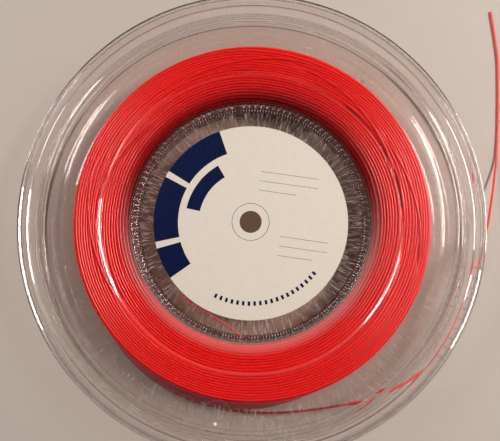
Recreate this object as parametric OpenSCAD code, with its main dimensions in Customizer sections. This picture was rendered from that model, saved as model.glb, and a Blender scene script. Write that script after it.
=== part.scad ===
// String reel: two identical clear mouldings joined at mid height, a paper label on the upper web,
// and one long monofilament string wound on the fluted drum between the flanges.
// Each moulding is three nodes, its hub, flange and rim, which meet face to face and don't overlap.
// Origin: on the reel's axis, in the plane that it stands on. +Z is the reel's axis. Millimetres.

/* [Reel] */
// Outside diameter of the flanges
reel_d = 260; // [250:1:280]
// Overall height over both rims
reel_h = 28; // [26:0.5:32]
// Thickness of the moulded sheet
wall = 1.2; // [1:0.1:1.5]

/* [Drum] */
// Largest outside diameter of the fluted drum
drum_d = 135.6; // [120:0.2:140]
// Thickness of the drum's wall
drum_wall = 1.4; // [1.2:0.1:2]
// Depth of the drum's flutes
flute_depth = 1; // [0.5:0.1:1.2]
// Number of flutes round the drum
flute_count = 125; // [60:1:140]
// Space between the two webs, where the string's start is caught
web_gap = 1.6; // [1.5:0.1:3]
// Diameter of the spindle bore
bore_d = 12.8; // [8:0.2:30]
// Width of the notch that lets the string's start through the drum
notch_w = 2.4; // [1.8:0.1:4]

/* [Flange] */
// Width of the sunk inner zone, outwards from the drum
sink_w = 16.2; // [12:0.1:20]
// Depth of the sunk inner zone
sink_depth = 0.6; // [0.2:0.1:0.9]
// Distance of the stiffening bead's inner foot inside the rim band
bead_in = 8.6; // [7.6:0.1:12]
// Width of the stiffening bead
bead_w = 3.9; // [3:0.1:5]
// Height of the stiffening bead
bead_rise = 0.8; // [0.4:0.1:1]
// Diameter of the round moulding ring
ring_d = 18; // [12:0.5:18.5]
// Width of the round moulding ring's wall
ring_w = 0.8; // [0.6:0.1:1.5]
// Distance of the moulding ring's middle inside the bead
ring_in = 6.9; // [5:0.1:11]
// Diameter of the gate nub beside the ring's middle
nub_d = 2.8; // [1.5:0.1:4]
// Offset of the gate nub from the ring's middle
nub_off = 3.3; // [0:0.1:4]

/* [Rim] */
// Width of the raised rim band, with the rise onto it
rim_w = 6.4; // [5.5:0.1:7]
// Height of the rim band over the flange, which stands off whatever the reel lies on
band_rise = 1.2; // [0.9:0.1:1.6]
// Radius of the rim's outer corner
rim_round = 2; // [1:0.1:2.5]
// Depth of the rim's lip from the band's face
lip_depth = 6; // [4:0.2:7]
// Number of string-clip ribs under the band
rib_count = 10; // [4:1:20]
// Thickness of a clip rib
rib_t = 0.5; // [0.4:0.1:1]
// Angle between two clip ribs, in degrees
rib_step = 2.65; // [2:0.05:4]
// Length of a clip rib, inwards from the lip
rib_len = 2.7; // [2:0.1:3]

/* [Label] */
// Diameter of the paper label
label_d = 112.4; // [90:0.2:120]
// Thickness of the paper label
label_t = 0.15; // [0.1:0.05:0.4]

/* [String] */
// Diameter of the string
string_d = 1.25; // [1.1:0.05:1.35]
// Outside diameter of the wound string
pack_d = 202.05; // [180:0.05:206]
// Loops of the winding that lie on the top of the pack
top_loops = 15; // [8:1:15]
// Loops of the winding that lie round the side of the pack
side_loops = 9; // [4:1:9]
// Clearance between the wound string and the upper flange
pack_clear = 0.35; // [0.3:0.05:2]

/* [Hidden] */
$fn = 96;
eps = 0.1;                              // overlap that fuses the parts of one moulding
fit_gap = 0.2;                          // the wound string's clearance round the drum
touch = 0.05;                           // gap that keeps a round string off a flat face

// Heights, from the seam at mid height to the outer face
half_h = reel_h / 2;
flange_z = half_h - band_rise;          // outer face of the flange
inner_z = flange_z - wall;              // inner face of the flange
sunk_z = flange_z - sink_depth;         // outer face of the sunk inner zone
meet_z = sunk_z - wall;                 // inner face of the sunk zone, which rests on the drum's end
web_z = web_gap / 2;                    // inner face of the web

// Radii
reel_r = reel_d / 2;
drum_r = drum_d / 2;
drum_mid_r = drum_r - (drum_wall + flute_depth) / 2; // where the web joins the drum
drum_in_r = drum_r - drum_wall;         // crests of the drum's inner face
lip_in_r = reel_r - wall;
sink_r = drum_r + sink_w;
sink_ramp = 2.5;                        // radial length of the rise out of the sunk zone
band_in_r = reel_r - rim_w;
bead_in_r = band_in_r - bead_in;
bead_out_r = bead_in_r + bead_w;
rim_lap = 0.6;                          // flat strip of the flange that belongs to the rim's node
rim_in_r = band_in_r - rim_lap;
band_ramp = 0.6;                        // radial length of the rise onto the rim band
ramp_in = 0.5;                          // how far the inner face trails the outer one on a 45 degree rise
band_in = 0.74;                         // the same on the steep rise onto the band
corner_steps = 6;

// Angles, in degrees from +X
clip_angle = 336.2;                     // middle of the clip ribs, and the axis the lower half is turned about
ring_angle = 260.3;
notch_angle = 265.4;
rib_gap = 0.4;                          // how far a rib stops short of the lip's edge

// Wound string
string_r = string_d / 2;
pack_r = pack_d / 2;
core_in_r = drum_r + fit_gap;
steps = 24;                             // rings in a loop
loops = top_loops + side_loops;
side_r = pack_r - string_r;             // centreline of the outer turns
top_in = 0.8;                           // how far the first turn on top stands off the core's inner edge
top_out = 1;                            // how far the last turn on top lies inside the outer turns
top_r0 = core_in_r + string_r + top_in; // centreline of the first turn on top
top_r1 = side_r - top_out;              // centreline of the last turn on top
top_z = half_h + sunk_z - wall - pack_clear - string_r;
low_z = half_h - inner_z + string_r + 2 * touch;
core_r = side_r * cos(180 / steps) - string_r - touch;
core_top = top_z - string_r - touch;
core_low = half_h - sunk_z + wall;      // rests on the sunk zone of the lower flange
wind_angle = 212;                       // where the winding starts, and where it ends
form_sides = 6;
cord_sides = 8;
span_steps = 20;                        // straight steps that stand for the curve between two route points

// String's start: it lies on the lower web, comes in along the label's edge, turns outwards and
// passes the drum through the notch. Points are [x, y] for a drum of radius START_DRUM_R.
START_DRUM_R = 67.8;
START_ROUTE = [[-39.5, -42.7], [-34, -46.7], [-28, -50.5], [-21.5, -54.3], [-15.7, -57.6],
               [-11.2, -60.8], [-7.7, -63.3], [-5.8, -65.3], [-5.4, -67.7]];
start_z = half_h - web_z + string_r + touch;
start_rings = 18;

// String's tail: it leaves the lowest turn, lies on the lower flange, climbs to the clip ribs under
// the upper rim, passes below the lip and comes down to lie on the ground.
// Points are [angle, distance from the axis, height] for outer turns at TAIL_SIDE_R and a reel of
// radius TAIL_REEL_R.
TAIL_SIDE_R = 100.4;
TAIL_REEL_R = 130;
TAIL_ROUTE = [[215, 100.55, 3.1], [219, 101.2, 3.1], [224, 102.4, 3.1], [230, 104.1, 3.1],
              [237, 105.9, 3.1], [245, 107.6, 3.1], [253, 108.8, 3.1], [262, 109.9, 3.1],
              [270, 110.9, 3.1], [277.5, 112, 3.1], [285, 113.8, 3.3], [290, 115.4, 4.3],
              [295, 117, 6.7], [299.5, 118.6, 10], [304, 120, 14], [308, 121.2, 17.7],
              [312, 122.5, 20.8], [316, 123.7, 23], [320, 124.8, 24.2], [324, 125.3, 24.5],
              [330, 125.3, 24.5], [336, 125.3, 24.5], [342, 125.3, 24.3], [346, 125.8, 23.8],
              [348.5, 127, 22.6], [350.5, 128.8, 21.2], [353, 131.3, 19.3], [356, 134.1, 16.8],
              [359.6, 137.6, 12.8], [363.5, 141.4, 9.2], [367.4, 145.7, 5.9], [371.1, 150.1, 3.2],
              [374.6, 154.6, 1.4], [378, 158.4, 0.8], [382.5, 164.2, 0.8], [388.9, 174.4, 0.8],
              [394.4, 185.2, 0.8], [401.6, 200.3, 0.8]];
tail_rings = 80;

// --- functions ---

function polar(a, r, z = 0) = [r * cos(a), r * sin(a), z];
function unit(v) = v / norm(v);
function lerp(a, b, t) = a + (b - a) * t;

// Direction of a path at point i, square across the two spans that meet there
function heading(p, i) =
    i == 0 ? unit(p[1] - p[0]) :
    i == len(p) - 1 ? unit(p[i] - p[i - 1]) :
    unit(unit(p[i + 1] - p[i]) + unit(p[i] - p[i - 1]));

// Ring of n points of radius r, square to the path at point i
function ring(p, i, r, n) =
    let (t = heading(p, i), s = unit(cross(t, [0, 0, 1])), u = cross(s, t))
    [for (k = [0:n - 1]) p[i] + r * (cos(360 * k / n) * s + sin(360 * k / n) * u)];

// Catmull-Rom curve through the points p, at parameter t from 0 to len(p) - 1
function spline(p, t) =
    let (n = len(p), i = min(floor(t), n - 2), f = t - i,
         a = p[max(i - 1, 0)], b = p[i], c = p[i + 1], d = p[min(i + 2, n - 1)])
    0.5 * (2 * b + (c - a) * f + (2 * a - 5 * b + 4 * c - d) * f * f + (3 * b - a - 3 * c + d) * f * f * f);

// Running length of a path at each of its points
function run_length(p, i = 0, sum = 0, out = []) =
    i == len(p) ? out :
    let (s = sum + (i == 0 ? 0 : norm(p[i] - p[i - 1])))
    run_length(p, i + 1, s, concat(out, [s]));

// n points spaced evenly along the smooth curve through the points p
function even_path(p, n) =
    let (fine = [for (k = [0:span_steps * (len(p) - 1)]) spline(p, k / span_steps)],
         s = run_length(fine), total = s[len(s) - 1])
    [for (k = [0:n - 1])
        let (d = total * k / (n - 1),
             j = min(max([for (m = [0:len(s) - 1]) if (s[m] <= d + 1e-9) m]), len(s) - 2))
        lerp(fine[j], fine[j + 1], (d - s[j]) / (s[j + 1] - s[j]))];

// Centreline of the winding: a flat spiral outwards on top of the pack, then a helix down its side
function wind_r(t) =
    t <= top_loops ? lerp(top_r0, top_r1, t / top_loops) :
    lerp(top_r1, side_r, min(t - top_loops, 1));
function wind_z(t) = t <= top_loops ? top_z : lerp(top_z, low_z, (t - top_loops) / side_loops);
function wind_point(t) = polar(wind_angle + 360 * t, wind_r(t), wind_z(t));
wind_end = wind_point(loops);
wind_heading = polar(wind_angle + 90, 1);
WIND_PATH = concat([for (i = [0:loops * steps]) wind_point(i / steps)],
                   [wind_end + string_d * wind_heading]);

// Least gap between one loop and the next, measured between the centreline's points
wind_gap = min([for (i = [0:(loops - 1) * steps - steps / 2])
                for (k = [steps / 2:3 * steps / 2])
                norm(WIND_PATH[i + k] - WIND_PATH[i])]) - string_d;
echo(winding_least_gap_mm = wind_gap);

// Distance of a tail point, which follows the outer turns and the rim
function tail_r(d) = lerp(side_r, reel_r, (d - TAIL_SIDE_R) / (TAIL_REEL_R - TAIL_SIDE_R));
tail_start = wind_end + string_d * wind_heading;
TAIL_PATH = even_path(concat([tail_start, tail_start + string_d * wind_heading],
                             [for (q = TAIL_ROUTE) polar(q[0], tail_r(q[1]), q[2])]), tail_rings);
TAIL_LENGTHS = run_length(TAIL_PATH);
echo(tail_length_mm = TAIL_LENGTHS[tail_rings - 1]);

// --- building blocks ---

// Closed tube of radius r with n sides through the points p
module tube(p, r, n) {
    last = len(p) - 1;
    walls = [for (i = [0:last - 1]) for (k = [0:n - 1])
             let (a = i * n + k, b = i * n + (k + 1) % n)
             each [[a, b, a + n], [b, b + n, a + n]]];
    caps = [for (k = [1:n - 2]) each [[0, k + 1, k], [last * n, last * n + k, last * n + k + 1]]];
    polyhedron([for (i = [0:last]) each ring(p, i, r, n)], concat(walls, caps), convexity = 10);
}

// Pleated outline of the drum whose crests are at radius r
module flutes(r) {
    half_pitch = 180 / flute_count;
    polygon([for (i = [0:2 * flute_count - 1])
             let (q = i % 2 == 0 ? r : r - flute_depth)
             [q * cos(i * half_pitch), q * sin(i * half_pitch)]]);
}

module drum_sleeve() {
    linear_extrude(meet_z) difference() {
        flutes(drum_r);
        flutes(drum_in_r);
    }
}

// Section of flange and bead: the outer face outwards, then the inner face back
module flange_section() {
    flange_in_r = drum_in_r - 2 * flute_depth; // inside the fluted hole that is cut later
    polygon([[flange_in_r, sunk_z], [sink_r, sunk_z], [sink_r + sink_ramp, flange_z],
             [bead_in_r, flange_z], [bead_in_r + bead_rise, flange_z + bead_rise],
             [bead_out_r - bead_rise, flange_z + bead_rise], [bead_out_r, flange_z],
             [rim_in_r, flange_z], [rim_in_r, inner_z],
             [bead_out_r - ramp_in, inner_z], [bead_out_r - bead_rise - ramp_in, inner_z + bead_rise],
             [bead_in_r + bead_rise + ramp_in, inner_z + bead_rise], [bead_in_r + ramp_in, inner_z],
             [sink_r + sink_ramp, inner_z], [sink_r, meet_z], [flange_in_r, meet_z]]);
}

// Section of rim band and lip: the outer face outwards and down, then the inner face back
module rim_section() {
    polygon(concat(
        [[rim_in_r, flange_z], [band_in_r, flange_z], [band_in_r + band_ramp, half_h]],
        [for (k = [0:corner_steps])
         let (a = 90 - 90 * k / corner_steps)
         [reel_r - rim_round + rim_round * cos(a), half_h - rim_round + rim_round * sin(a)]],
        [[reel_r, half_h - lip_depth], [lip_in_r, half_h - lip_depth], [lip_in_r, half_h - wall],
         [band_in_r + band_ramp + band_in, half_h - wall], [band_in_r + band_in, inner_z],
         [rim_in_r, inner_z]]));
}

module clip_ribs() {
    low = half_h - lip_depth + rib_gap;
    for (i = [0:rib_count - 1])
        rotate(clip_angle + (i - (rib_count - 1) / 2) * rib_step)
        translate([lip_in_r - rib_len, -rib_t / 2, low])
        cube([rib_len + wall / 2, rib_t, half_h - wall / 2 - low]);
}

module moulding_ring() {
    rotate(ring_angle) translate([bead_in_r - ring_in, 0, flange_z - eps]) {
        difference() {
            cylinder(d = ring_d, h = bead_rise + eps);
            translate([0, 0, -eps]) cylinder(d = ring_d - 2 * ring_w, h = bead_rise + 3 * eps);
        }
        translate([nub_off, 0, 0]) cylinder(d = nub_d, h = bead_rise, $fn = 32);
    }
}

module string_notch(a) {
    rotate(a) translate([drum_in_r - 2 * flute_depth, -notch_w / 2, -eps])
    cube([drum_wall + 4 * flute_depth, notch_w, web_z + eps]);
}

// Web and drum of one moulding, standing on the seam
module half_hub() {
    difference() {
        union() {
            drum_sleeve();
            translate([0, 0, web_z]) cylinder(r = drum_mid_r, h = wall);
        }
        translate([0, 0, web_z - eps]) cylinder(d = bore_d, h = wall + 2 * eps);
        string_notch(notch_angle);
        string_notch(2 * clip_angle - notch_angle);
    }
}

// Flange of one moulding, standing on the end of its drum
module half_flange() {
    difference() {
        union() {
            rotate_extrude() flange_section();
            moulding_ring();
        }
        translate([0, 0, meet_z - eps]) linear_extrude(wall + 2 * eps) flutes(drum_in_r);
    }
}

// Rim and clip ribs of one moulding, round the edge of its flange
module half_rim() {
    rotate_extrude() rim_section();
    clip_ribs();
}

module upper_place() {
    color([0.86, 0.83, 0.82, 0.45]) translate([0, 0, half_h]) children();
}

// The lower moulding is the upper one turned over about the middle of its clip ribs
module lower_place() {
    color([0.82, 0.79, 0.78, 0.45]) translate([0, 0, half_h])
    rotate(180, [cos(clip_angle), sin(clip_angle), 0]) children();
}

// --- the pieces ---

module upper_hub() {
    upper_place() half_hub();
}

module upper_flange() {
    upper_place() half_flange();
}

module upper_rim() {
    upper_place() half_rim();
}

module lower_hub() {
    lower_place() half_hub();
}

module lower_flange() {
    lower_place() half_flange();
}

module lower_rim() {
    lower_place() half_rim();
}

module label() {
    color([0.9, 0.87, 0.82]) translate([0, 0, half_h + web_z + wall]) difference() {
        cylinder(d = label_d, h = label_t);
        translate([0, 0, -eps]) cylinder(d = bore_d, h = label_t + 2 * eps);
    }
}

module string_core() {
    color([0.75, 0.08, 0.08]) translate([0, 0, core_low]) difference() {
        cylinder(r = core_r, h = core_top - core_low);
        translate([0, 0, -eps]) cylinder(r = core_in_r, h = core_top - core_low + 2 * eps);
    }
}

module string_winding() {
    color([0.93, 0.14, 0.12]) tube(WIND_PATH, string_r, form_sides);
}

module string_start() {
    color([0.85, 0.12, 0.11])
    tube(even_path([for (q = START_ROUTE) concat(q * drum_r / START_DRUM_R, start_z)], start_rings),
         string_r, cord_sides);
}

module string_tail() {
    color([0.93, 0.14, 0.12]) tube(TAIL_PATH, string_r, cord_sides);
}

upper_hub();
upper_flange();
upper_rim();
lower_hub();
lower_flange();
lower_rim();
label();
string_core();
string_winding();
string_start();
string_tail();
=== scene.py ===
"""String reel: two clear spool halves, a round paper label and one long red string.

Lengths inside the shape functions are millimetres and become metres when a mesh is made.
The reel's axis is +Z, and the reel stands on z = 0.
"""

import math

import bpy
import numpy as np
from mathutils import Matrix, Vector


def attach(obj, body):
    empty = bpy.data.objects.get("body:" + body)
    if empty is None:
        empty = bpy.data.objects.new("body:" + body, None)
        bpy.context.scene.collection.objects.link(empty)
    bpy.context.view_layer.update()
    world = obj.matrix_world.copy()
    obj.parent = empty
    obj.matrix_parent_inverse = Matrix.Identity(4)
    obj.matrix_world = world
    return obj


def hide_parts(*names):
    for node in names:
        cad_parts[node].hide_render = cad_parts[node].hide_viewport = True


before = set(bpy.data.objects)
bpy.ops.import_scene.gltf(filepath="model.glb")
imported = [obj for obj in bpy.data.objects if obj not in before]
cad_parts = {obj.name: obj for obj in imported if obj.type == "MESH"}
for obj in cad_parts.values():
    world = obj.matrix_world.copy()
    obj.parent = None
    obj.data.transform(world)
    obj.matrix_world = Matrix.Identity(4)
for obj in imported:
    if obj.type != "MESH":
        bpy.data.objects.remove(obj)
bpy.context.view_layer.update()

MM = 0.001
TAU = 2 * math.pi

# Spool, as in the part's source
HALF_H = 14.0
SEAM_Z = 14.0
REEL_R = 130.0
WALL = 1.2
DRUM_R = 67.8
DRUM_WALL = 1.1
FLUTE_DEPTH = 0.7
FLUTES = 125
DRUM_IN_R = DRUM_R - DRUM_WALL - FLUTE_DEPTH
DRUM_OUT_R = DRUM_R - FLUTE_DEPTH
BORE_R = 6.4
WEB_Z = 0.8
FLANGE_Z = 12.8
INNER_Z = FLANGE_Z - WALL
SUNK_Z = 11.4
SUNK_IN_Z = 10.95
LIP_Z = 8.0
LIP_R = REEL_R - WALL
CLIP_ANGLE = 336.2
NOTCH_ANGLE = 265.4
NOTCH_W = 2.4
RIBS = 10
RIB_STEP = 2.65
RIB_LEN = 2.7
RIB_T = 0.5
RING_ANGLE = 260.3
RING_AT = 108.1
RING_R = 9.0
RING_W = 0.8
GATE_OFF = 3.3                  # from the moulding ring's middle to its gate nub
GATE_H = 0.8
CREASE_R = 124.2
# Painted shade: dark rings along the creases; distance from the axis, darkness, half width, and
# the face that has them
PAINTED_CREASE_SHADE = [
    (CREASE_R, 0.9, 0.30, "top"), (123.7, 0.85, 0.30, "bottom"), (115.9, 0.75, 0.30, "top"),
    (113.8, 0.6, 0.24, "top"), (127.6, 0.55, 0.30, "top"), (129.95, 0.5, 0.30, "top"),
]

# String
STRING_D = 1.25
STRING_R = STRING_D / 2
WIND_ANGLE = 212.0
PACK_SIDE_R = 100.4
PACK_TOP_Z = 24.25
PACK_LOW_Z = 3.12
PACK_IN_R = 68.7

START_ROUTE = [
    (-39.5, -42.7), (-34, -46.7), (-28, -50.5), (-21.5, -54.3), (-15.7, -57.6),
    (-11.2, -60.8), (-7.7, -63.3), (-5.8, -65.3), (-5.4, -67.7),
]
START_Z = 13.875
# Angle, distance from the axis, height
TAIL_ROUTE = [
    (215, 100.55, 3.1), (219, 101.2, 3.1), (224, 102.4, 3.1), (230, 104.1, 3.1),
    (237, 105.9, 3.1), (245, 107.6, 3.1), (253, 108.8, 3.1), (262, 109.9, 3.1),
    (270, 110.9, 3.1), (277.5, 112, 3.1), (285, 113.8, 3.3), (290, 115.4, 4.3),
    (295, 117, 6.7), (299.5, 118.6, 10), (304, 120, 14), (308, 121.2, 17.7),
    (312, 122.5, 20.8), (316, 123.7, 23), (320, 124.8, 24.2), (324, 125.3, 24.5),
    (330, 125.3, 24.5), (336, 125.3, 24.5), (342, 125.3, 24.3), (346, 125.8, 23.8),
    (348.5, 127, 22.6), (350.5, 128.8, 21.2), (353, 131.3, 19.3), (356, 134.1, 16.8),
    (359.6, 137.6, 12.8), (363.5, 141.4, 9.2), (367.4, 145.7, 5.9), (371.1, 150.1, 3.2),
    (374.6, 154.6, 1.4), (378, 158.4, 0.8), (382.5, 164.2, 0.8), (388.9, 174.4, 0.8),
    (394.4, 185.2, 0.8), (401.6, 200.3, 0.8),
]


# --- camera ---

def add_camera():
    """Camera above the reel, turned 4.5 degrees about X and 0.8 degrees about Y, looking down."""
    data = bpy.data.cameras.new("camera")
    data.sensor_width = 36
    data.lens = 36 * 490 / 500
    data.clip_start = 0.01
    data.clip_end = 20
    camera = bpy.data.objects.new("camera", data)
    bpy.context.scene.collection.objects.link(camera)
    camera.rotation_mode = "XYZ"
    tilt, roll = 0.0792, 0.0136
    ct, st, cr, sr = math.cos(tilt), math.sin(tilt), math.cos(roll), math.sin(roll)
    turn = np.array([[1, 0, 0], [0, ct, -st], [0, st, ct]]) @ np.array(
        [[cr, 0, sr], [0, 1, 0], [-sr, 0, cr]]
    )
    place = np.eye(4)
    place[:3, :3] = turn
    place[:3, 3] = (0.003513, -0.021603, 0.298232)
    camera.matrix_world = Matrix(place.tolist())
    bpy.context.scene.camera = camera


# --- materials ---

class Finish:
    """A material under construction: a node tree with Object coordinates at hand."""

    def __init__(self, name):
        self.material = bpy.data.materials.new(name)
        self.material.use_nodes = True
        self.tree = self.material.node_tree
        self.tree.nodes.clear()
        self.output = self.tree.nodes.new("ShaderNodeOutputMaterial")
        self.place = self.tree.nodes.new("ShaderNodeTexCoord").outputs["Object"]

    def put(self, socket, value):
        """Links an output to a socket, or sets the socket to a plain value."""
        if isinstance(value, bpy.types.NodeSocket):
            self.tree.links.new(value, socket)
        else:
            socket.default_value = value

    def node(self, kind, settings=None, **values):
        """A node with its settings, whose inputs are named with _ for a space."""
        n = self.tree.nodes.new("ShaderNode" + kind)
        for key, value in (settings or {}).items():
            setattr(n, key, value)
        for key, value in values.items():
            self.put(n.inputs[key.replace("_", " ")], value)
        return n

    def math(self, operation, *values):
        n = self.tree.nodes.new("ShaderNodeMath")
        n.operation = operation
        for socket, value in zip(n.inputs, values):
            self.put(socket, value)
        return n.outputs[0]

    def chain(self, operation, total, *values):
        """The operation carried through the values, from left to right."""
        for value in values:
            total = self.math(operation, total, value)
        return total

    def times(self, *values):
        return self.chain("MULTIPLY", *values)

    def largest(self, *values):
        return self.chain("MAXIMUM", *values)

    def within(self, value, low, high):
        """1 where the value lies between low and high, and 0 elsewhere."""
        above, below = self.math("GREATER_THAN", value, low), self.math("LESS_THAN", value, high)
        return self.times(above, below)

    def xyz(self, vector):
        return self.node("SeparateXYZ", Vector=vector).outputs

    def from_axis(self, x, y):
        """Distance from the axis, the root of x squared plus y squared."""
        return self.math("SQRT", self.math("ADD", self.times(x, x), self.times(y, y)))

    def noise(self, vector, scale, detail=2.0, roughness=0.5):
        return self.node(
            "TexNoise", Vector=vector, Scale=scale, Detail=detail, Roughness=roughness
        ).outputs["Fac"]

    def ramp(self, value, low, high, to_low=0.0, to_high=1.0):
        """The value carried from low..high to to_low..to_high along a smooth step."""
        return self.node(
            "MapRange", {"interpolation_type": "SMOOTHSTEP"}, Value=value, From_Min=low,
            From_Max=high, To_Min=to_low, To_Max=to_high,
        ).outputs["Result"]

    def blend(self, share, a, b):
        """Colour a where share is 0 and colour b where it is 1."""
        n = self.tree.nodes.new("ShaderNodeMix")
        n.data_type = "RGBA"
        self.put(n.inputs["Factor"], share)
        self.put(n.inputs[6], a)
        self.put(n.inputs[7], b)
        return n.outputs[2]

    def bump(self, height, strength, distance):
        return self.node(
            "Bump", Height=height, Strength=strength, Distance=distance
        ).outputs["Normal"]

    def shader(self, **values):
        return self.node("BsdfPrincipled", **values).outputs["BSDF"]

    def done(self, shader):
        self.tree.links.new(shader, self.output.inputs["Surface"])
        return self.material


def clear_plastic():
    """Clear polystyrene, faintly pink grey. Lengths in here are metres.

    Handling scratches are noise on (x / r, y / r, r), stretched so that each streak is long
    along the radius and thin across it, and kept to the hub web and, weaker, to the flange
    outside the wound string. Painted shade tints the hub web and the flange beside the pack
    pinker and darker, tints the drum's wall dark and a little hazy, and darkens the face over
    it towards +Y, while towards -Y that face is a little hazy and pale: a painted glow. Painted
    glints make the flutes' ends white where cos(2 * flutes * angle) is high, close to the sunk
    face and to the web, and the gate nub white too. Painted shade also lays thin dark rings
    along the creases of rim and bead.
    """
    f = Finish("clear_plastic")
    x, y, z = f.xyz(f.place)
    radius = f.math("MAXIMUM", f.from_axis(x, y), 0.004)
    height = f.math("ABSOLUTE", f.math("SUBTRACT", z, SEAM_Z * MM))
    in_r, crest_r, wall_top, margin = DRUM_IN_R * MM, DRUM_R * MM, 0.0108, 0.0002

    streaks_round, streaks_along = 120.0, 150.0
    streaks = f.ramp(f.noise(f.node(
        "CombineXYZ",
        X=f.times(f.math("DIVIDE", x, radius), streaks_round),
        Y=f.times(f.math("DIVIDE", y, radius), streaks_round),
        Z=f.times(radius, streaks_along),
    ).outputs[0], 1.0, 3.0, 0.6), 0.49, 0.70)
    rubs = f.ramp(f.noise(f.place, 30.0, 2.0), 0.32, 0.66, 0.5, 1.0)
    on_web = f.ramp(radius, 0.0640, 0.0650, 1.0, 0.0)
    on_flange = f.times(
        f.ramp(radius, 0.1005, 0.1035), f.ramp(radius, 0.120, 0.128, 1.0, 0.5),
        f.ramp(y, -0.075, -0.035, 1.0, 0.5), 0.6,
    )
    scuffs = f.times(streaks, rubs, f.largest(on_flange, on_web))

    # Painted shade: the hub web is tinted pinker and darker, for the shade under the hub.
    web = f.math("LESS_THAN", radius, in_r - margin)
    # Painted shade: the clear drum wall is tinted dark brown and made a little hazy, for the shade
    # seen through it.
    wall = f.times(f.within(radius, in_r - margin, crest_r + margin),
                   f.math("LESS_THAN", height, wall_top))
    over_wall = f.math("GREATER_THAN", height, wall_top)
    # Painted shade: the face over the wall darkens towards +Y.
    collar_painted_shade = f.times(over_wall, f.ramp(radius, 0.0685, 0.0750, 1.0, 0.0), f.ramp(y, -0.050, 0.030))
    # Painted light: towards -Y the face over the wall turns hazy and pale, a painted glow for its
    # lit side.
    painted_glow = f.times(over_wall, f.ramp(radius, 0.0690, 0.0755, 1.0, 0.0),
                    f.ramp(y, -0.020, 0.030, 0.07, 0.0))
    # Painted shade: the flange just outside the pack is tinted pinker and darker, for the pack's
    # shadow and its red bounce.
    beside_pack_painted_shade = f.times(f.ramp(radius, 0.098, 0.101), f.ramp(radius, 0.108, 0.114, 1.0, 0.0))

    # Painted glints: white dots at the flutes' ends, where their fillets would catch the lamps.
    flute_ends = f.times(
        f.within(radius, in_r - 0.0003, in_r + margin),
        f.largest(f.ramp(height, 0.0106, 0.0109), f.ramp(height, 0.0022, 0.0025, 1.0, 0.0)),
    )
    crest = f.ramp(f.math("COSINE", f.times(f.math("ARCTAN2", y, x), 2.0 * FLUTES)), 0.70, 0.96)
    uneven = f.ramp(f.noise(f.place, 300.0, 2.0), 0.38, 0.54)
    from_nub = f.node("VectorMath", {"operation": "DISTANCE"})
    f.put(from_nub.inputs[0], f.place)
    nub = polar_points(RING_ANGLE, RING_AT + GATE_OFF, SEAM_Z + FLANGE_Z + GATE_H)
    from_nub.inputs[1].default_value = tuple(nub * MM)
    nub_reach = 0.0009
    # Painted glints, white and not clear, at the flute ends and on the gate nub.
    painted_glints = f.largest(f.times(flute_ends, crest, uneven),
                      f.math("LESS_THAN", from_nub.outputs["Value"], nub_reach))

    top_from, bottom_to = 0.0262, 0.0035
    faces = {"top": f.math("GREATER_THAN", z, top_from),
             "bottom": f.math("LESS_THAN", z, bottom_to)}
    # Painted shade: thin dark rings along the creases of rim and bead.
    crease_shade = f.largest(*[
        f.times(f.ramp(f.math("ABSOLUTE", f.math("SUBTRACT", radius, at * MM)),
                       0.4 * half * MM, 1.4 * half * MM, depth, 0.0), faces[face])
        for at, depth, half, face in PAINTED_CREASE_SHADE
    ])

    colour = (0.985, 0.955, 0.945, 1)
    # Tints over the plastic's own: painted shade on the web, beside the pack, on the drum's wall,
    # over it and on the crease rings; painted glints at the flute ends and the nub.
    for share, tint in (
        (web, (0.93, 0.85, 0.825)), (beside_pack_painted_shade, (0.98, 0.932, 0.922)),
        (wall, (0.24, 0.155, 0.145)), (collar_painted_shade, (0.38, 0.27, 0.25)),
        (painted_glints, (0.95, 0.93, 0.92)), (crease_shade, (0.22, 0.16, 0.15)),
    ):
        colour = f.blend(share, colour, (*tint, 1))
    # Hazy share: the scuffs' own, plus painted light and shade from the glow over the wall and the
    # dark wall.
    scuff_haze_and_painted_light = f.largest(painted_glow, f.times(scuffs, 0.18), f.times(wall, 0.14))
    shader = f.shader(
        Base_Color=colour,
        Roughness=f.ramp(scuffs, 0.0, 1.0, 0.02, 0.16),
        IOR=1.56,
        Coat_Weight=0.4,
        Coat_Roughness=0.17,
        Transmission_Weight=f.times(f.math("SUBTRACT", 1.0, scuff_haze_and_painted_light), f.math("SUBTRACT", 1.0, painted_glints)),
    )
    through = f.node("BsdfTransparent", Color=(0.95, 0.925, 0.915, 1)).outputs[0]
    rays = f.node("LightPath").outputs
    shader = mix_shader(f, rays["Is Shadow Ray"], shader, through)
    return f.done(mix_shader(f, rays["Is Diffuse Ray"], shader, through))


def mix_shader(f, share, first, second):
    """The first shader where share is 0 and the second where it is 1."""
    n = f.tree.nodes.new("ShaderNodeMixShader")
    f.put(n.inputs[0], share)
    f.tree.links.new(first, n.inputs[1])
    f.tree.links.new(second, n.inputs[2])
    return n.outputs[0]


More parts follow.
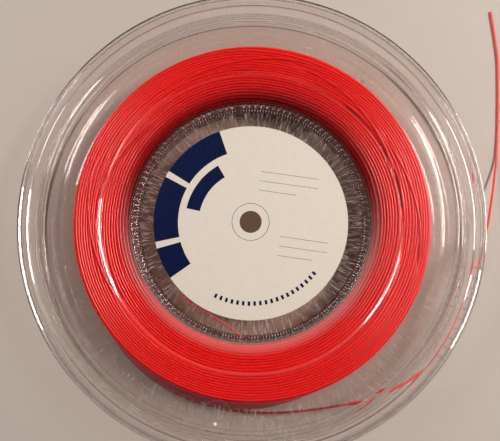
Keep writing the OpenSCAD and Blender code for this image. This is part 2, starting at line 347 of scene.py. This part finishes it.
def red_string(name, red, roughness):
    """Fluorescent red monofilament with a rough, satin surface; each turn differs a little,
    and where the piece's own shade value is above 0 the red is darker: painted shade."""
    f = Finish(name)
    turn = f.node("Attribute", {"attribute_name": "turn"}).outputs["Fac"]
    shade = f.noise(f.node("CombineXYZ", X=turn, Y=0.0, Z=0.0).outputs[0], 1.7, 1.0)
    grain = f.noise(f.place, 2600.0, 2.0)
    mottle = f.noise(f.place, 420.0, 2.0)
    pale = [min(1.0, c * 1.12 + 0.002) for c in red]
    dark = [c * 0.92 for c in red]
    colour = f.blend(f.ramp(shade, 0.34, 0.62), (*dark, 1), (*red, 1))
    colour = f.blend(f.ramp(mottle, 0.52, 0.72), colour, (*pale, 1))
    # Painted shade: the red darkens to a deep red as the piece's shade value rises.
    dull = f.node("Attribute", {"attribute_name": "dull"}).outputs["Fac"]
    colour = f.blend(dull, colour, (0.26, 0.004, 0.010, 1))
    return f.done(f.shader(
        Base_Color=colour,
        Roughness=f.ramp(grain, 0.3, 0.7, roughness - 0.06, roughness + 0.10),
        IOR=1.5,
        Specular_IOR_Level=0.8,
        Normal=f.bump(grain, 0.25, 0.00004),
    ))


def label_paper():
    """Coated off-white paper with a plain print: navy ring blocks, thin rules and a row of dots.

    The paper lets about half of the lamps' light through to what lies under it.
    """
    f = Finish("label_paper")
    turned = f.node("Mapping", Vector=f.place, Rotation=(0, 0, math.radians(8))).outputs[0]
    x, y, _ = f.xyz(turned)
    radius = f.from_axis(x, y)
    angle = f.math("DEGREES", f.math("ARCTAN2", y, x))
    outer = f.within(radius, 0.0420, 0.0600)
    inner = f.within(radius, 0.0300, 0.0380)
    blocks = f.largest(
        f.times(outer, f.math("GREATER_THAN", f.math("ABSOLUTE", angle), 160.0)),
        f.times(outer, f.within(angle, 117.0, 156.0)),
        f.times(outer, f.within(angle, -156.0, -137.0)),
        f.times(inner, f.within(angle, 128.0, 176.0)),
    )
    half_rule = 0.00012
    rules = f.largest(*[
        f.times(f.within(y, at - half_rule, at + half_rule), f.within(x, start, end))
        for at, start, end in (
            (0.0300, 0.002, 0.036), (0.0245, 0.002, 0.036), (0.0190, 0.002, 0.024),
            (-0.0060, 0.018, 0.046), (-0.0115, 0.018, 0.046), (-0.0170, 0.018, 0.038),
        )
    ])
    circle = f.within(radius, 0.0106, 0.0109)
    dots = f.times(
        f.within(radius, 0.0455, 0.0480), f.within(angle, -108.0, -30.0),
        f.math("LESS_THAN", f.math("FRACT", f.times(angle, 0.25)), 0.45),
    )
    grain = f.noise(f.place, 900.0, 3.0)
    paper = f.blend(f.ramp(grain, 0.3, 0.7), (0.730, 0.655, 0.570, 1), (0.765, 0.690, 0.605, 1))
    colour = f.blend(f.largest(rules, circle), paper, (0.10, 0.095, 0.10, 1))
    colour = f.blend(f.largest(blocks, dots), colour, (0.001, 0.006, 0.045, 1))
    paper_shader = f.shader(
        Base_Color=colour,
        Roughness=f.ramp(grain, 0.3, 0.7, 0.34, 0.46),
        Specular_IOR_Level=0.25,
        Normal=f.bump(grain, 0.15, 0.00005),
    )
    through = f.node("BsdfTransparent", Color=(0.50, 0.46, 0.42, 1)).outputs[0]
    rays = f.node("LightPath").outputs
    return f.done(mix_shader(f, rays["Is Shadow Ray"], paper_shader, through))


def floor_paint():
    """Plain pale grey beige, matt."""
    f = Finish("floor_paint")
    tone = f.noise(f.place, 40.0, 2.0)
    return f.done(f.shader(
        Base_Color=f.blend(tone, (0.530, 0.463, 0.405, 1), (0.548, 0.481, 0.423, 1)),
        Roughness=0.7,
    ))


# --- meshes ---

def grid_faces(rows, columns, rows_close, columns_close):
    """Quads of a grid of rows x columns points, closed on itself in either direction."""
    i = np.arange(rows if rows_close else rows - 1)
    j = np.arange(columns if columns_close else columns - 1)
    i, j = np.meshgrid(i, j, indexing="ij")
    i2, j2 = (i + 1) % rows, (j + 1) % columns
    quads = np.stack([i * columns + j, i2 * columns + j, i2 * columns + j2, i * columns + j2], -1)
    return quads.reshape(-1, 4)


def capped_faces(rows, columns):
    """Quads of a tube of rows x columns points, with a fan of quads at either end, round a
    point that follows the grid's: first the start's, then the end's."""
    j = np.arange(0, columns, 2)
    start, end, last = rows * columns, rows * columns + 1, (rows - 1) * columns
    caps = np.concatenate([
        np.stack([np.full_like(j, start), (j + 2) % columns, j + 1, j], -1),
        np.stack([np.full_like(j, end), last + j, last + j + 1, last + (j + 2) % columns], -1),
    ])
    return np.concatenate([grid_faces(rows, columns, False, True), caps])


def signed_volume(points, quads):
    """Six times the volume inside closed quads, positive when they face outwards."""
    a, b, c, d = (points[quads[:, k]] for k in range(4))
    return (np.cross(a, b) * c).sum() + (np.cross(a, c) * d).sum()


def outward(points, quads):
    """The quads, turned round if they face inwards."""
    return quads if signed_volume(points, quads) > 0 else quads[:, ::-1]


def join_shells(shells):
    """One point array and one face array from several closed shells."""
    points, quads, first = [], [], 0
    for p, q in shells:
        points.append(p)
        quads.append(outward(p, q) + first)
        first += len(p)
    return np.concatenate(points), np.concatenate(quads)


def make_piece(name, points, quads, material, turns=None, dull=None):
    """A mesh object at the origin, from millimetre points and quads, riding on the reel."""
    mesh = bpy.data.meshes.new(name)
    mesh.vertices.add(len(points))
    mesh.vertices.foreach_set("co", (np.asarray(points) * MM).astype(np.float32).ravel())
    mesh.loops.add(quads.size)
    mesh.loops.foreach_set("vertex_index", quads.astype(np.int32).ravel())
    mesh.polygons.add(len(quads))
    mesh.polygons.foreach_set("loop_start", np.arange(0, quads.size, 4, dtype=np.int32))
    mesh.polygons.foreach_set("use_smooth", np.ones(len(quads), dtype=bool))
    mesh.update(calc_edges=True)
    # Per point: the turn number, and how much painted shade darkens the string.
    for label, values in (("turn", turns), ("dull", dull)):
        if values is not None:
            layer = mesh.attributes.new(label, "FLOAT", "POINT")
            layer.data.foreach_set("value", np.asarray(values, dtype=np.float32))
    mesh.materials.append(material)
    piece = bpy.data.objects.new(name, mesh)
    bpy.context.scene.collection.objects.link(piece)
    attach(piece, "root")
    return piece


# --- the spool halves ---

def rounded_outline(corners, arc=5):
    """Closed outline through corners (distance, height, radius), each turned along an arc.

    Between two straight sides that meet at half angle h, an arc of radius r starts r / tan h
    before the corner; a point a short way before and after each arc keeps the flats flat.
    """
    corners = np.array(corners, float)
    points = []
    n = len(corners)
    for k in range(n):
        p = corners[k, :2]
        before, after = corners[k - 1, :2] - p, corners[(k + 1) % n, :2] - p
        lb, la = np.linalg.norm(before), np.linalg.norm(after)
        ub, ua = before / lb, after / la
        half = 0.5 * math.acos(np.clip(ub @ ua, -1, 1))
        cut = min(corners[k, 2] / math.tan(half), 0.45 * lb, 0.45 * la)
        radius = cut * math.tan(half)
        middle = p + (ub + ua) / np.linalg.norm(ub + ua) * radius / math.sin(half)
        a, b = p + ub * cut - middle, p + ua * cut - middle
        a0 = math.atan2(a[1], a[0])
        sweep = (math.atan2(b[1], b[0]) - a0 + math.pi) % TAU - math.pi
        t = a0 + sweep * np.linspace(0, 1, arc)
        lead = min(0.08, 0.04 * min(lb, la))
        points.append(p + ub * (cut + lead))
        points.extend(middle + radius * np.stack([np.cos(t), np.sin(t)], -1))
        points.append(p + ua * (cut + lead))
    return np.array(points)


def half_outline():
    """Section of one spool half: out along its outer face, and back along its inner face."""
    in_r, out_r = DRUM_IN_R, DRUM_OUT_R
    return rounded_outline([
        # web, the drum's inner side, sunk face and its ramp
        (BORE_R, WEB_Z + WALL, 0.3), (in_r, WEB_Z + WALL, 0.5), (in_r, SUNK_Z, 0.6),
        (83.4, SUNK_Z, 0.3), (84.3, 12.06, 7.0), (85.1, 12.53, 3.0), (86.0, FLANGE_Z, 1.0),
        # bead, crease, and the rim band with its groove
        (115.0, FLANGE_Z, 0.3), (116.4, 13.42, 0.3), (117.2, 13.42, 1.5), (117.9, 13.27, 0.3),
        (118.6, FLANGE_Z, 0.3), (123.8, 12.74, 0.1), (CREASE_R, 12.69, 0.08),
        (125.0, 13.26, 4.0), (126.2, 13.98, 0.1), (127.5, 13.36, 0.2), (128.25, 13.36, 0.1),
        (129.05, 13.98, 0.1), (129.65, 13.97, 0.1), (REEL_R, 13.93, 0.1),
        # lip, and under the rim band
        (REEL_R, LIP_Z, 0.45), (LIP_R, LIP_Z, 0.45),
        (LIP_R, 12.6, 1.0), (125.2, 12.6, 0.8), (123.7, INNER_Z, 0.3),
        # shallow groove, whose slope grows outwards
        (119.2, INNER_Z, 0.3), (118.3, INNER_Z + 0.60, 0.3), (117.1, INNER_Z + 0.35, 18.0),
        (115.9, INNER_Z + 0.17, 18.0), (113.9, INNER_Z, 18.0),
        # under the sunk face, the drum's outer side and free edge, and back along the web
        (86.2, INNER_Z, 1.3), (85.0, SUNK_IN_Z, 1.3), (out_r, SUNK_IN_Z, 0.6),
        (out_r, 0.0, 0.25), (in_r, 0.0, 0.25), (in_r, WEB_Z, 0.4), (BORE_R, WEB_Z, 0.3),
    ], 3)


def half_shell():
    """The outline turned about the axis; the drum's wall moves in and out once per flute, by
    half of one less the cosine, and the drum's free edge steps up at the notches.

    The flutes fade out over a short way beside the wall, and under the sunk face."""
    outline = half_outline()
    columns = 4 * FLUTES
    angle = np.arange(columns) / columns * TAU
    wave = 0.5 - 0.5 * np.cos(FLUTES * angle)
    distance, height = outline[:, 0], outline[:, 1]
    in_r, out_r, fade, fade_up = DRUM_IN_R, DRUM_OUT_R, 1.2, 1.6
    reach = np.clip((distance - (in_r - fade)) / fade, 0, 1)
    reach *= np.clip((out_r + fade - distance) / fade, 0, 1)
    reach *= np.clip((SUNK_Z + 0.1 - height) / fade_up, 0, 1)
    r = distance[:, None] + FLUTE_DEPTH * reach[:, None] * wave[None]
    z = np.repeat(height[:, None], columns, 1)
    notch = np.zeros(columns)
    for at in (NOTCH_ANGLE, 2 * CLIP_ANGLE - NOTCH_ANGLE):
        off = np.degrees((angle - math.radians(at) + math.pi) % TAU - math.pi)
        notch = np.maximum(notch, np.abs(off) * math.radians(1) * DRUM_R < NOTCH_W / 2)
    edge = (height < 0.5 * WEB_Z) & (distance > in_r - 0.5) & (distance < out_r + 0.5)
    z = np.where(edge[:, None], z + notch[None] * 0.5 * WEB_Z, z)
    points = np.stack([r * np.cos(angle), r * np.sin(angle), z], -1)
    return points.reshape(-1, 3), grid_faces(len(outline), columns, True, True)


def pillow(low, high, steps=5, power=8):
    """Block between two corners whose edges are softened: a sphere's points pushed out to
    |x|^p + |y|^p + |z|^p = 1. Each end row lies a hair from its pole."""
    lat = np.linspace(-math.pi / 2 + 0.02, math.pi / 2 - 0.02, 2 * steps + 1)
    lon = np.arange(4 * steps) / (4 * steps) * TAU
    la, lo = np.meshgrid(lat, lon, indexing="ij")
    unit = np.stack([np.cos(la) * np.cos(lo), np.cos(la) * np.sin(lo), np.sin(la)], -1)
    unit /= ((np.abs(unit) ** power).sum(-1, keepdims=True)) ** (1 / power)
    low, high = np.array(low, float), np.array(high, float)
    grid = (low + high) / 2 + unit * (high - low) / 2
    rows, columns = grid.shape[:2]
    points = np.concatenate([grid.reshape(-1, 3), grid[0].mean(0)[None], grid[-1].mean(0)[None]])
    return points, capped_faces(rows, columns)


def turned(points, degrees):
    """Points turned about the reel's axis."""
    c, s = math.cos(math.radians(degrees)), math.sin(math.radians(degrees))
    return points @ np.array([[c, s, 0], [-s, c, 0], [0, 0, 1]])


def clip_ribs():
    """Thin upright fins that stand inwards from the lip, at even angles."""
    sunk_in = 0.3
    p, q = pillow((LIP_R - RIB_LEN, -RIB_T / 2, LIP_Z + 0.4),
                  (LIP_R + sunk_in, RIB_T / 2, HALF_H - WALL + sunk_in))
    return [(turned(p, CLIP_ANGLE + (k - (RIBS - 1) / 2) * RIB_STEP), q) for k in range(RIBS)]


def revolve(outline, columns):
    """Closed outline (distance, height) turned about Z."""
    angle = np.arange(columns) / columns * TAU
    r, z = outline[:, 0][:, None], outline[:, 1][:, None]
    points = np.stack([r * np.cos(angle), r * np.sin(angle), z + 0 * angle], -1)
    return points.reshape(-1, 3), grid_faces(len(outline), columns, True, True)


def moulding_ring():
    """Low round ring on the flange, with a small gate nub beside its middle."""
    foot, ring_top, slope, nub_r = FLANGE_Z - 0.05, FLANGE_Z + 0.03, 0.25, 1.4
    ring = revolve(rounded_outline([
        (RING_R - RING_W, foot, 0.02), (RING_R, foot, 0.02),
        (RING_R - slope, ring_top, 0.1), (RING_R - RING_W + slope, ring_top, 0.1),
    ]), 48)
    nub = revolve(rounded_outline([
        (0.02, foot, 0.005), (nub_r, foot, 0.02),
        (nub_r - 0.15, FLANGE_Z + GATE_H - 0.05, 0.35), (0.02, FLANGE_Z + GATE_H, 0.005),
    ]), 24)
    return [
        (turned(points + (RING_AT + off, 0, 0), RING_ANGLE), quads)
        for (points, quads), off in ((ring, 0.0), (nub, GATE_OFF))
    ]


def spool_points(points, lower):
    """A half's points at their height; the lower half is turned over about the clip's axis."""
    if lower:
        c, s = math.cos(math.radians(CLIP_ANGLE)), math.sin(math.radians(CLIP_ANGLE))
        axis = np.array([c, s, 0])
        points = 2 * (points @ axis)[:, None] * axis - points
    return points + (0, 0, SEAM_Z)


def add_spool(material):
    shells = [half_shell()] + clip_ribs() + moulding_ring()
    points, quads = join_shells(shells)
    for half, lower in (("upper", False), ("lower", True)):
        piece = make_piece("spool_" + half, spool_points(points, lower), quads, material)
        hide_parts(half + "_hub", half + "_flange", half + "_rim")


# --- string ---

def tube(path, radius, sides):
    """Closed tube round a path: at each point a circle square to the path, flat ends."""
    path = np.asarray(path, float)
    tangent = np.gradient(path, axis=0)
    tangent /= np.linalg.norm(tangent, axis=1, keepdims=True)
    side = np.cross(tangent, (0, 0, 1))
    side /= np.linalg.norm(side, axis=1, keepdims=True)
    up = np.cross(side, tangent)
    k = np.arange(sides) / sides * TAU
    ring = (path[:, None] + radius * (np.cos(k)[None, :, None] * side[:, None]
                                     + np.sin(k)[None, :, None] * up[:, None]))
    points = np.concatenate([ring.reshape(-1, 3), path[:1], path[-1:]])
    return points, capped_faces(len(path), sides)


def wander(u, per_turn, seed):
    """Smooth random value between -1 and 1 along the winding: even random knots, joined by
    half cosine waves."""
    knots = np.random.default_rng(seed).uniform(-1, 1, int(np.max(u) * per_turn) + 3)
    t = np.asarray(u) * per_turn
    i = np.floor(t).astype(int)
    share = 0.5 - 0.5 * np.cos(math.pi * (t - i))
    return knots[i] * (1 - share) + knots[i + 1] * share


def smooth_step(t):
    t = np.clip(t, 0, 1)
    return t * t * (3 - 2 * t)


RINGS = 288                     # points in a turn of the visible layers
END_SIDES = 12                  # points round the two loose ends


def wound(turns, rings):
    """Turn number and angle of each point of a layer with so many points in a turn."""
    u = np.arange(turns * rings) / rings
    return u, (WIND_ANGLE + 360 * u) % 360


def pack_edge(angle):
    """Outer edge of the wound string, a millimetre fuller towards 63 degrees."""
    return PACK_SIDE_R + 0.9 * np.cos(np.radians(angle - 63))


def flat_spiral(turns, seed, tightness, rings=RINGS):
    """Turn number, angle and distance of a layer that winds outwards.

    Each turn lies one string's width plus a gap outside the one before it. The gaps are an
    even share plus the part of a slow random wander above the tightness, scaled so that the
    last turn meets the pack's edge, so that a few open into long dark lenses.
    """
    u, angle = wound(turns, rings)
    gap = np.maximum(wander(u, 3.3, seed) - tightness, 0) + 0.05
    gap = gap.reshape(turns, rings)
    room = pack_edge(angle[:rings]) - PACK_IN_R - turns * STRING_D
    lay = np.cumsum(gap * (room / gap.sum(0))[None] + STRING_D, axis=0)
    fade = np.linspace(0, 1, rings, endpoint=False)
    before = np.vstack([np.zeros(rings), lay[:-1]])
    after = np.vstack([lay[:-1], lay[-1:]])
    distance = PACK_IN_R + before * (1 - fade[None]) + after * fade[None]
    return u, angle, distance.ravel()


def nested(u, angle, distance, height):
    """The layer below: each of its turns lies in the groove between two turns of the layer
    above, halfway across, and so deep that the circles just touch."""
    inner, outer = slice(None, -RINGS), slice(RINGS, None)
    half = (distance[outer] - distance[inner]) / 2
    drop = np.sqrt(np.maximum(STRING_D ** 2 - half ** 2, 0.25))
    middle = (distance[outer] + distance[inner]) / 2
    return u[inner], angle[inner], middle, (height[outer] + height[inner]) / 2 - drop


def shell_height(distance, angle):
    """Height of the top layer: level at the outside, lower at its edge, and falling towards
    the drum as the sum of a slow and a quick exponential."""
    inwards = np.maximum(distance - PACK_IN_R, 0)
    near_drum = 8.5 * np.exp(-inwards / 3.0) + 2.6 * np.exp(-inwards / 8.5)
    near_drum = near_drum * (1 + 0.25 * far_side(angle))
    near_edge = 1.2 * np.exp(-np.maximum(pack_edge(angle) - distance, 0) / 1.5)
    return PACK_TOP_Z - 0.55 - near_drum - near_edge


def far_side(angle):
    """How far towards 80 degrees: a power of half of one plus the cosine."""
    return (0.5 + 0.5 * np.cos(np.radians(angle - 80))) ** 1.6


# Strings that cross over others: start angle, sweep, distance at the start and at the end
CROSSINGS = [
    (60, 62, 97, 89.5), (128, 58, 80, 87.5), (150, 66, 94.5, 86), (338, 60, 96.5, 89.5),
    (14, 66, 86, 93),
]


def crossing_path(start, sweep, first, last, rings=120):
    """A string that rises between two turns, drifts across the layer and dives again."""
    t = np.linspace(0, 1, rings)
    angle = start + sweep * t
    distance = first + (last - first) * smooth_step(t)
    dive = 2.4 * (1 - smooth_step(t / 0.22) * smooth_step((1 - t) / 0.22))
    height = np.full(rings, PACK_TOP_Z - 0.35) - dive
    return angle, distance, height


def polar_points(angle, distance, height):
    a = np.radians(angle)
    return np.stack([distance * np.cos(a), distance * np.sin(a), height + 0 * a], -1)


def press_down(angle, distance, height):
    """Heights lowered under each crossing string, so that the two circles just touch."""
    for start, sweep, first, last in CROSSINGS:
        ca, cd, ch = crossing_path(start, sweep, first, last, 400)
        rel = (angle - start) % 360
        inside = rel <= sweep
        at_d = np.interp(rel, ca - start, cd)
        at_h = np.interp(rel, ca - start, ch)
        off = np.abs(distance - at_d)
        roof = at_h - np.sqrt(np.maximum(STRING_D ** 2 - off ** 2, 0))
        over = inside & (off < STRING_D) & (at_h > height - 0.4)
        height = np.where(over, np.minimum(height, roof), height)
    kernel = np.hanning(9)
    kernel /= kernel.sum()
    padded = np.concatenate([height[:4][::-1], height, height[-4:][::-1]])
    return np.convolve(padded, kernel, "valid")


class Layers:
    """Tubes laid one after another into one piece, each point knowing its turn and how much
    painted shade darkens it."""

    def __init__(self):
        self.shells, self.turns, self.dull = [], [], []

    def lay(self, path, sides, turn, dull=None):
        points, quads = tube(path, STRING_R, sides)
        self.shells.append((points, quads))
        self.turns.append(round_tube(turn, sides))
        self.dull.append(round_tube(np.zeros(len(path)) if dull is None else dull, sides))

    def piece(self, name, material):
        points, quads = join_shells(self.shells)
        piece = make_piece(name, points, quads, material,
                           np.concatenate(self.turns), np.concatenate(self.dull))
        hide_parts("string_winding")


def round_tube(values, sides):
    """Values along a path, given to every point of its tube and to the two end points."""
    values = np.asarray(values, float)
    return np.concatenate([np.repeat(values, sides), values[:1], values[-1:]])


def slack(angle, height):
    """How far the pack's flank leans out towards 255 degrees: a bell along the angle, and
    falling evenly with height. The lowest turns stay inside the free end that leaves there."""
    off = (angle - 255 + 180) % 360 - 180
    return np.exp(-(off / np.where(off < 0, 46, 39)) ** 2) * np.clip((22.5 - height) / 18, 0, 1)


def inside_tail(angle, distance, height):
    """Distances kept a string's width inside the free end where they are as low as it is."""
    route = np.array(TAIL_ROUTE)
    past_start = (angle - WIND_ANGLE) % 360 + WIND_ANGLE
    limit = np.interp(past_start, route[:, 0], route[:, 1]) - 1.05 * STRING_D
    held = np.minimum(distance, limit)
    share = smooth_step((5.2 - height) / 0.9) * smooth_step((angle - WIND_ANGLE) / 12)
    share = share * (angle < 298)
    return distance + (held - distance) * share


def add_pack(material):
    top = Layers()
    u, angle, distance = flat_spiral(21, 11, 0.55)
    height = (shell_height(distance, angle) - 0.06 * (1 + wander(u, 3, 12))
              - 0.16 * (1 + wander(u, 1.3, 13)))
    # Painted shade: the inner turns darken near the drum, most towards 80 degrees, where they lie
    # in shade.
    shade = 0.85 * np.exp(-((distance - PACK_IN_R) / 9.5) ** 2) * far_side(angle)
    top.lay(polar_points(angle, distance, press_down(angle, distance, height)), 8, u, shade)
    for k, (start, sweep, first, last) in enumerate(CROSSINGS):
        a, d, h = crossing_path(start, sweep, first, last)
        # The crossing strings carry a little painted shade.
        top.lay(polar_points(a, d, h), 8, np.full(len(a), 40.0 + 3 * k), np.full(len(a), 0.2))
    top.piece("pack_top", material)
    below = nested(u, angle, distance, height)

    side = Layers()
    for layer, (turns, seed, out) in enumerate(((16, 31, 9.5), (12, 35, 7.5))):
        u, angle = wound(turns, 240)
        high = PACK_TOP_Z - 2.0 - 1.2 * layer
        height = high + (PACK_LOW_Z - high) * u / turns + 0.10 * (1 + wander(u, 5, seed))
        distance = pack_edge(angle) - (pack_edge(angle) - PACK_SIDE_R) * u / turns - 1.2 * layer
        distance = distance + out * slack(angle, height) * (1 + 0.04 * wander(u, 5, seed + 1))
        distance = inside_tail(angle, distance, height)
        # Painted shade: the turns that lean out darken with the slack, as in the pack's shadow.
        side.lay(polar_points(angle, distance + 0.12 * wander(u, 6, seed + 2), height), 8,
                 u + 60 * (layer + 1), 1.6 * np.minimum(slack(angle, np.minimum(height, 12)), 0.6))
    side.piece("pack_side", material)

    under = Layers()
    under.lay(polar_points(*below[1:]), 6, below[0] + 30)
    u, angle, distance = flat_spiral(22, 41, 0.3, 192)
    seat = PACK_LOW_Z + 0.6 * (1 - smooth_step((distance - 84) / 3))
    under.lay(polar_points(angle, distance, seat + 0.05 * (1 + wander(u, 5, 42))), 6, u + 90)
    turns = 12
    u, angle = wound(turns, 144)
    height = 4.6 + 13.4 * u / turns
    distance = PACK_IN_R + 0.05 + 0.12 * (1 + wander(u, 6, 43))
    under.lay(polar_points(angle, distance, height), 6, u + 120)
    under.piece("pack_under", material)


def add_core(material):
    """The hidden turns: a ring whose section is a rounded rectangle with a ripple of one
    string's width along it."""
    section = rounded_outline([
        (69.6, 4.4, 1.0), (98.2, 4.4, 1.0), (98.2, 20.6, 1.0), (80.0, 19.9, 4.0),
        (74.5, 17.8, 4.0), (71.0, 13.6, 2.0), (69.6, 10.5, 1.0),
    ], 8)
    step = np.linalg.norm(np.roll(section, -1, 0) - section, axis=1)
    run = np.concatenate([[0], np.cumsum(step)])
    samples = 640
    at = np.arange(samples) / samples * run[-1]
    closed = np.vstack([section, section[:1]])
    outline = np.stack([np.interp(at, run, closed[:, k]) for k in range(2)], -1)
    heading = np.roll(outline, -1, 0) - np.roll(outline, 1, 0)
    heading /= np.linalg.norm(heading, axis=1, keepdims=True)
    square = np.stack([heading[:, 1], -heading[:, 0]], -1)
    outline += square * 0.3 * np.abs(np.sin(math.pi * at / STRING_D))[:, None]
    columns = 120
    points, quads = revolve(outline, columns)
    piece = make_piece("pack_core", points, outward(points, quads), material,
                       np.repeat(at / STRING_D, columns))
    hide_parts("string_core")


def smooth_route(route, spacing):
    """Points at even spacing along the Catmull-Rom curve through a route."""
    p = np.asarray(route, float)
    n = len(p)
    steps = 20
    t = np.arange(0, steps * (n - 1) + 1) / steps
    i = np.minimum(np.floor(t).astype(int), n - 2)
    f = (t - i)[:, None]
    a, b, c, d = p[np.maximum(i - 1, 0)], p[i], p[i + 1], p[np.minimum(i + 2, n - 1)]
    fine = 0.5 * (2 * b + (c - a) * f + (2 * a - 5 * b + 4 * c - d) * f ** 2
                  + (3 * b - a - 3 * c + d) * f ** 3)
    run = np.concatenate([[0], np.cumsum(np.linalg.norm(np.diff(fine, axis=0), axis=1))])
    at = np.linspace(0, run[-1], int(run[-1] / spacing) + 1)
    return np.stack([np.interp(at, run, fine[:, k]) for k in range(3)], -1)


def add_tail(material):
    """The free end: out of the lowest turn, along the flange, up to the clip ribs, out under
    the lip and down to the ground."""
    end = polar_points(WIND_ANGLE, PACK_SIDE_R, 3.125)
    heading = polar_points(WIND_ANGLE + 90, 1.0, 0.0)
    route = [end + STRING_D * heading, end + 2 * STRING_D * heading]
    route += [polar_points(a, d, h) for a, d, h in TAIL_ROUTE]
    path = smooth_route(route, 0.9)
    points, quads = tube(path, STRING_R, END_SIDES)
    along = np.degrees(np.arctan2(path[:, 1], path[:, 0])) % 360
    # Painted shade: the free end darkens where it runs low, between 180 and 320 degrees, as in the
    # pack's shadow.
    low = smooth_step((14 - path[:, 2]) / 8) * (along > 180) * (along < 320)
    piece = make_piece("string_free_end", points, outward(points, quads), material,
                       np.full(len(points), 200.0), round_tube(0.75 * low, END_SIDES))
    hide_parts("string_tail")


def add_start(material):
    """The first end: flat between the two webs, then out through the drum's notch."""
    path = smooth_route([(x, y, START_Z) for x, y in START_ROUTE], 0.7)
    points, quads = tube(path, STRING_R, END_SIDES)
    piece = make_piece("string_first_end", points, outward(points, quads), material,
                       np.full(len(points), 210.0))
    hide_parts("string_start")


# --- floor and light ---

def add_floor(material):
    mesh = bpy.data.meshes.new("floor")
    s = 3.0
    mesh.from_pydata([(-s, -s, 0), (s, -s, 0), (s, s, 0), (-s, s, 0)], [], [(0, 1, 2, 3)])
    mesh.materials.append(material)
    floor = bpy.data.objects.new("floor", mesh)
    bpy.context.scene.collection.objects.link(floor)


def add_lamp(name, azimuth, tilt, roll, away, width, height, watts, colour):
    """Strip lamp at an angle from the vertical, facing the reel, turned in its own plane."""
    data = bpy.data.lights.new(name, "AREA")
    data.shape = "RECTANGLE"
    data.size = width
    data.size_y = height
    data.energy = watts
    data.color = colour
    lamp = bpy.data.objects.new(name, data)
    bpy.context.scene.collection.objects.link(lamp)
    a, t = math.radians(azimuth), math.radians(tilt)
    at = Vector((math.sin(t) * math.cos(a), math.sin(t) * math.sin(a), math.cos(t))) * away
    lamp.location = at
    facing = (-at).to_track_quat("-Z", "Y").to_matrix()
    lamp.rotation_euler = (facing @ Matrix.Rotation(math.radians(roll), 3, "Z")).to_euler()


def add_light():
    """Two strip lamps, and a soft studio: pale walls, a dim ceiling and a dim horizon."""
    world = bpy.data.worlds.new("studio")
    world.use_nodes = True
    tree = world.node_tree
    ground = tree.nodes["Background"]
    ground.inputs["Color"].default_value = (1.0, 0.955, 0.91, 1)
    towards = tree.nodes.new("ShaderNodeSeparateXYZ")
    tree.links.new(tree.nodes.new("ShaderNodeTexCoord").outputs["Generated"], towards.inputs[0])
    steps = []
    for values in ((0.30, 0.88, 1.0, 0.022), (0.02, 0.26, 0.16, 0.62)):
        level = tree.nodes.new("ShaderNodeMapRange")
        level.interpolation_type = "SMOOTHSTEP"
        tree.links.new(towards.outputs["Z"], level.inputs["Value"])
        for name, value in zip(("From Min", "From Max", "To Min", "To Max"), values):
            level.inputs[name].default_value = value
        steps.append(level.outputs["Result"])
    both = tree.nodes.new("ShaderNodeMath")
    both.operation = "MULTIPLY"
    for socket, step in zip(both.inputs, steps):
        tree.links.new(step, socket)
    seen = tree.nodes.new("ShaderNodeMix")
    tree.links.new(tree.nodes.new("ShaderNodeLightPath").outputs["Is Camera Ray"], seen.inputs[0])
    tree.links.new(both.outputs[0], seen.inputs[2])
    seen.inputs[3].default_value = 0.62
    tree.links.new(seen.outputs[0], ground.inputs["Strength"])
    bpy.context.scene.world = world
    add_lamp("lamp_right", 19, 44, -26, 0.95, 0.48, 0.14, 6.9, (1.0, 0.955, 0.91))
    add_lamp("lamp_left", 147, 49, 32, 0.95, 0.38, 0.12, 3.0, (1.0, 0.955, 0.92))


# --- assembly ---

add_camera()
string_material = red_string("red_string", (0.99, 0.003, 0.003), 0.27)
add_tail(string_material)
# Painted shade: the first end's red is darker and pinker, for the shade between the webs under the
# label.
add_start(red_string("red_string_start_painted_shade", (0.62, 0.055, 0.050), 0.5))
add_pack(string_material)
# Painted shade: the hidden turns are a darker red, for the shade deep in the pack.
add_core(red_string("red_string_deep_painted_shade", (0.60, 0.008, 0.008), 0.6))
add_spool(clear_plastic())

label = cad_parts["label"]
label.data.materials.clear()
label.data.materials.append(label_paper())

add_floor(floor_paint())
add_light()

scene = bpy.context.scene
scene.view_settings.view_transform = "Standard"
